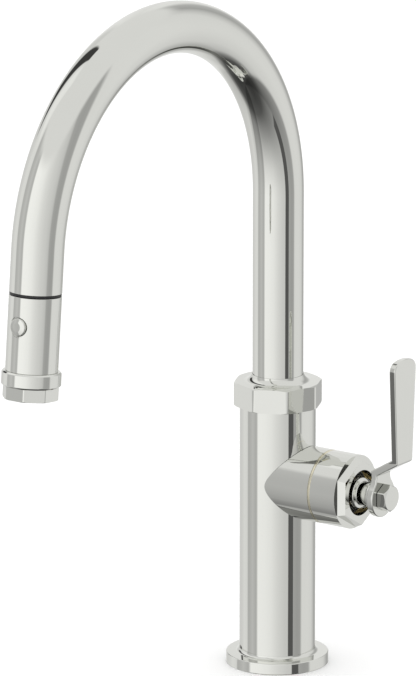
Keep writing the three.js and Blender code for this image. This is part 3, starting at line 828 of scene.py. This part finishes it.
def make_head(finishes):
    nickel = finishes["touched"]
    shell = moved(spun([
        (TUBE_BORE, -GAP, 0), (TUBE_R, -GAP, 0.3 * MM), (TUBE_R, -HEAD_SHELL, 0.1 * MM),
        (TUBE_BORE, -HEAD_SHELL, 0),
    ], 128), ON_DOCK)
    window = moved(ring_tool(BUTTON_R + 0.8 * MM, 5 * MM, 20 * MM, 64), ON_BUTTON)
    shell = soften(combined(shell, [window], "DIFFERENCE"), 0.12 * MM, 2, 50)
    piece(shell, "head_shell_polished", "spray_head", nickel, ["head_shell"], 40)

    bezel = moved(
        ring(BUTTON_R + 0.2 * MM, BUTTON_R + 0.75 * MM, TUBE_BORE + GAP, TUBE_R + 2 * MM, 0, 64),
        ON_BUTTON
    )
    skin = moved(ring_tool(TUBE_R - 0.35 * MM, -40 * MM, 0, 128), ON_DOCK)
    bezel = combined(bezel, [skin], "INTERSECT")
    piece(bezel, "button_bezel_turned", "spray_head", nickel, ["button_bezel"])

    ring_top, ring_low = -HEAD_SHELL - SEAM, -HEAD_SHELL - HEAD_RING
    ring_r = 17 * MM
    band = moved(spun([
        (TUBE_BORE, ring_top, 0), (ring_r - 0.9 * MM, ring_top, 0.2 * MM),
        (ring_r, ring_top - 0.9 * MM, 0.35 * MM),
        (ring_r, ring_low + 0.9 * MM, 0.35 * MM), (ring_r - 0.9 * MM, ring_low, 0.2 * MM),
        (TUBE_BORE, ring_low, 0),
    ], 128), ON_DOCK)
    piece(band, "head_ring_polished", "spray_head", nickel, ["head_ring"])

    corner = 16.3 * MM
    nut_low, nut_top = -HEAD_LENGTH, ring_low - SEAM
    octagon = prism(polygon(8, corner, 22.5), nut_low - 1 * MM, nut_top, corner=0.5 * MM)
    trim = spun([
        (0, nut_top, 0), (corner, nut_top, 0), (corner, nut_low + 0.5 * MM, 0.2 * MM),
        (corner - 0.7 * MM, nut_low, 0.2 * MM), (0, nut_low, 0),
    ], 128, False)
    bore = ring_tool(TUBE_BORE, nut_low - 2 * MM, nut_top + 1 * MM)
    nut = combined(combined(octagon, [trim], "INTERSECT"), [bore], "DIFFERENCE")
    nut = moved(soften(nut, 0.3 * MM), ON_DOCK)
    piece(nut, "outlet_nut_polished", "spray_head", nickel, ["outlet_nut"])
    make_spray_face(finishes, nut_low)


def make_spray_face(finishes, nut_low):
    """The silicone face with its raised nozzles, and the aerator's mesh in the middle."""
    outer, inner = TUBE_BORE - GAP, 6.3 * MM
    plate = spun([
        (inner, nut_low + 1.4 * MM, 0.3 * MM), (outer, nut_low + 1.4 * MM, 0.3 * MM),
        (outer, nut_low + 5 * MM, 0),
        (inner, nut_low + 5 * MM, 0),
    ], ROUND)
    nozzles = []
    for pitch, count in ((8.1 * MM, 12), (10.9 * MM, 18)):
        for i in range(count):
            turn = (i + 0.5) * FULL / count
            place = Matrix.Translation((pitch * math.cos(turn), pitch * math.sin(turn), 0))
            nub = moved(spun([
                (0.32 * MM, nut_low + 3 * MM, 0), (0.85 * MM, nut_low + 3 * MM, 0),
                (0.85 * MM, nut_low + 1.3 * MM, 0),
                (0.6 * MM, nut_low + 0.45 * MM, 0.12 * MM), (0.32 * MM, nut_low + 0.45 * MM, 0),
            ], 14), place)
            nozzles.append(nub)
    whole = merged([plate, *nozzles])
    piece(
        moved(whole, ON_DOCK), "spray_face_silicone", "spray_head", finishes["nozzle"],
        ["spray_plate"]
    )

    cup = spun([
        (4.7 * MM, nut_low + 1.2 * MM, 0.2 * MM), (6 * MM, nut_low + 1.2 * MM, 0.4 * MM),
        (6 * MM, nut_low + 12 * MM, 0),
        (4.7 * MM, nut_low + 12 * MM, 0),
    ], SMALL_ROUND)
    bars = [cup]
    reach, wire = 4.8 * MM, 0.16 * MM
    for way in range(2):
        for k in range(-4, 5):
            offset = k * 1.05 * MM
            half = math.sqrt(max(reach ** 2 - offset ** 2, 0))
            bar = prism(
                [
                    (-half, offset - wire), (half, offset - wire),
                    (half, offset + wire), (-half, offset + wire),
                ],
                nut_low + (1.9 + 0.3 * way) * MM, nut_low + (2.3 + 0.3 * way) * MM
            )
            bars.append(moved(bar, Matrix.Rotation(way * math.pi / 2, 4, "Z")))
    piece(
        moved(merged(bars), ON_DOCK), "aerator_mesh", "spray_head", finishes["white"],
        ["aerator"]
    )


def merged(parts):
    """Several meshes in one, kept as they are."""
    whole = bmesh.new()
    for part in parts:
        mesh = bpy.data.meshes.new("working part")
        part.to_mesh(mesh)
        part.free()
        whole.from_mesh(mesh)
        bpy.data.meshes.remove(mesh)
    return whole


def make_button(finishes):
    crown = TUBE_R + 1.35 * MM
    button = moved(spun([
        (0, 12.4 * MM, 0), (BUTTON_R, 12.4 * MM, 0), (BUTTON_R, crown - 0.75 * MM, 0.9 * MM),
        (BUTTON_R * 0.5, crown - 0.1 * MM, 3 * MM), (0, crown, 0),
    ], 64, False), ON_BUTTON)
    piece(button, "spray_button_domed", "button", finishes["touched"], ["spray_button"])


# ---------------------------------------------------------------- floor, light and the CAD nodes that stay


def make_floor():
    bm = bmesh.new()
    bmesh.ops.create_grid(bm, x_segments=1, y_segments=1, size=6)
    floor = to_object(bm, "floor")
    material, graph, shader, place = new_material("pale studio floor")
    graph.link(
        graph.mix(graph.noise(place, 3, 3), (0.93, 0.93, 0.93), (0.95, 0.95, 0.95)),
        shader.inputs["Base Color"]
    )
    shader.inputs["Roughness"].default_value = 0.7
    floor.data.materials.append(material)
    floor.visible_glossy = False


# Brightness of the studio's walls by heading, in degrees round from the camera, on a level line
WALLS = [
    (-180, 0.80), (-168, 0.86), (-162, 0.70), (-150, 0.68), (-134, 0.74), (-120, 0.82), (-105, 0.80),
    (-101, 0.50), (-90, 0.55), (-82, 0.60), (-68, 0.50), (-62, 1.04), (-40, 1.02), (-20, 0.96), (0, 0.82),
    (22, 0.71), (28, 0.70), (32, 0.68), (44, 0.62), (50, 0.43), (62, 0.40), (73, 0.42), (79, 0.79),
    (104, 0.80), (124, 0.76), (136, 0.60), (146, 0.42), (160, 0.50), (170, 0.84),
]
# How the walls fade towards the ground: in front of the faucet, and to its sides, by elevation
FRONT_FADE = [
    (-76, 0.07), (-66, 0.11), (-58, 0.24), (-50, 0.36), (-40, 0.56), (-30, 0.76), (-18, 0.92), (-8, 1.0)
]
SIDE_FADE = [(-76, 0.07), (-66, 0.12), (-60, 0.35), (-54, 0.75), (-40, 0.90), (-20, 0.97), (-8, 1.0)]
# Headings where the front's fade holds
FRONT = [
    (-180, 0.0), (-120, 0.0), (-100, 0.6), (-66, 0.8), (-60, 1.0), (30, 1.0), (52, 0.9), (74, 0.6),
    (82, 0.0)
]
CEILING = 0.79


def make_studio():
    """A pale room as the metal sees it: walls in bands, a darker ground, and two dark panels."""
    world = bpy.data.worlds.new("studio")
    bpy.context.scene.world = world
    world.use_nodes = True
    graph = Graph(world.node_tree)
    way = graph.node("ShaderNodeTexCoord").outputs["Generated"]
    split = graph.node("ShaderNodeSeparateXYZ")
    graph.link(way, split.inputs["Vector"])
    heading = graph.math("ARCTAN2", split.outputs["Y"], split.outputs["X"])
    facing = CAMERA_HEADING - math.pi / 2
    turned = graph.math("ADD", graph.math("DIVIDE", graph.math("SUBTRACT", heading, facing), FULL), 1.5)
    share = graph.math("FRACT", turned)
    height = graph.math("DIVIDE", graph.math("ARCSINE", split.outputs["Z"]), HALF)
    rise = graph.math("ADD", height, 0.5)

    def grey(stops, span, start, value):
        shades = [((place - start) / span, (level, level, level)) for place, level in stops]
        return graph.ramp(value, shades)

    walls = grey(WALLS, 360, -180, share)
    front = grey(FRONT, 360, -180, share)
    fade = graph.mix(front, grey(SIDE_FADE, 180, -90, rise), grey(FRONT_FADE, 180, -90, rise))
    room = graph.math("MULTIPLY", walls, fade)

    def panel(left, right, bottom, top, soft):
        """1 inside a panel between two headings and two elevations, with soft edges."""
        sides = []
        for value, low_edge, high_edge, span in (
            (share, left + 180, right + 180, 360), (rise, bottom + 90, top + 90, 180),
        ):
            sides.append(graph.ranged(value, low_edge / span, (low_edge + soft) / span, 0.0, 1.0))
            sides.append(graph.ranged(value, (high_edge - soft) / span, high_edge / span, 1.0, 0.0))
        product = sides[0]
        for side in sides[1:]:
            product = graph.math("MULTIPLY", product, side)
        return product

    def hang(under, value, shade):
        return graph.mix(value, under, (shade, shade, shade))

    room = hang(room, graph.ranged(rise, 122 / 180, 132 / 180, 0.0, 1.0), CEILING)
    room = hang(room, panel(-136, -106, 20, 64, 8), 0.92)
    room = hang(room, panel(-154, -136, 8, 64, 3), 0.05)
    room = hang(room, panel(31, 49, -46, -10, 2), 0.10)
    tint = graph.mix(1.0, room, (1.0, 1.0, 0.985))
    tint.node.blend_type = "MULTIPLY"
    rays = graph.node("ShaderNodeLightPath")
    light = graph.node("ShaderNodeBackground")
    lit = graph.mix(rays.outputs["Is Diffuse Ray"], tint, (1.4, 1.4, 1.4))
    graph.link(graph.mix(rays.outputs["Is Camera Ray"], lit, (1.0, 1.0, 1.0)), light.inputs["Color"])
    output = graph.node("ShaderNodeOutputWorld")
    graph.link(light.outputs["Background"], output.inputs["Surface"])
    bpy.context.scene.view_settings.view_transform = "Standard"


KEPT_NODES = {
    "rubber": ["deck_gasket", "cartridge_seal", "spout_o_ring_1", "spout_o_ring_2"],
    "brass": ["valve_body", "spout_socket", "ball_fitting"],
    # The cartridge ring takes the dark steel: painted shade inside the cap's bore.
    "painted_bore_shade": ["cartridge_ring"],
    "steel": [
        "outlet_pipe", "hot_supply_pipe", "cold_supply_pipe", "stem_pin", "stem", "hose_ferrule",
        "button_spring"
    ],
    "white": ["cartridge_housing", "cartridge_rotor", "lower_bush", "upper_bush", "head_core"],
    "black": ["swivel_socket", "check_valve"],
    "ceramic": ["fixed_ceramic_disc", "moving_ceramic_disc"],
}


def dress_kept_nodes(finishes):
    for finish, nodes in KEPT_NODES.items():
        for name in nodes:
            materials = frame["nodes"][name].data.materials
            materials.clear()
            materials.append(finishes[finish])


make_camera()
finishes = make_finishes()
make_floor()
make_studio()
make_base(finishes)
make_under_deck(finishes)
make_collar(finishes)
make_valve_covers(finishes)
make_handle(finishes)
make_spout(finishes)
make_hose(finishes)
make_head(finishes)
make_button(finishes)
dress_kept_nodes(finishes)
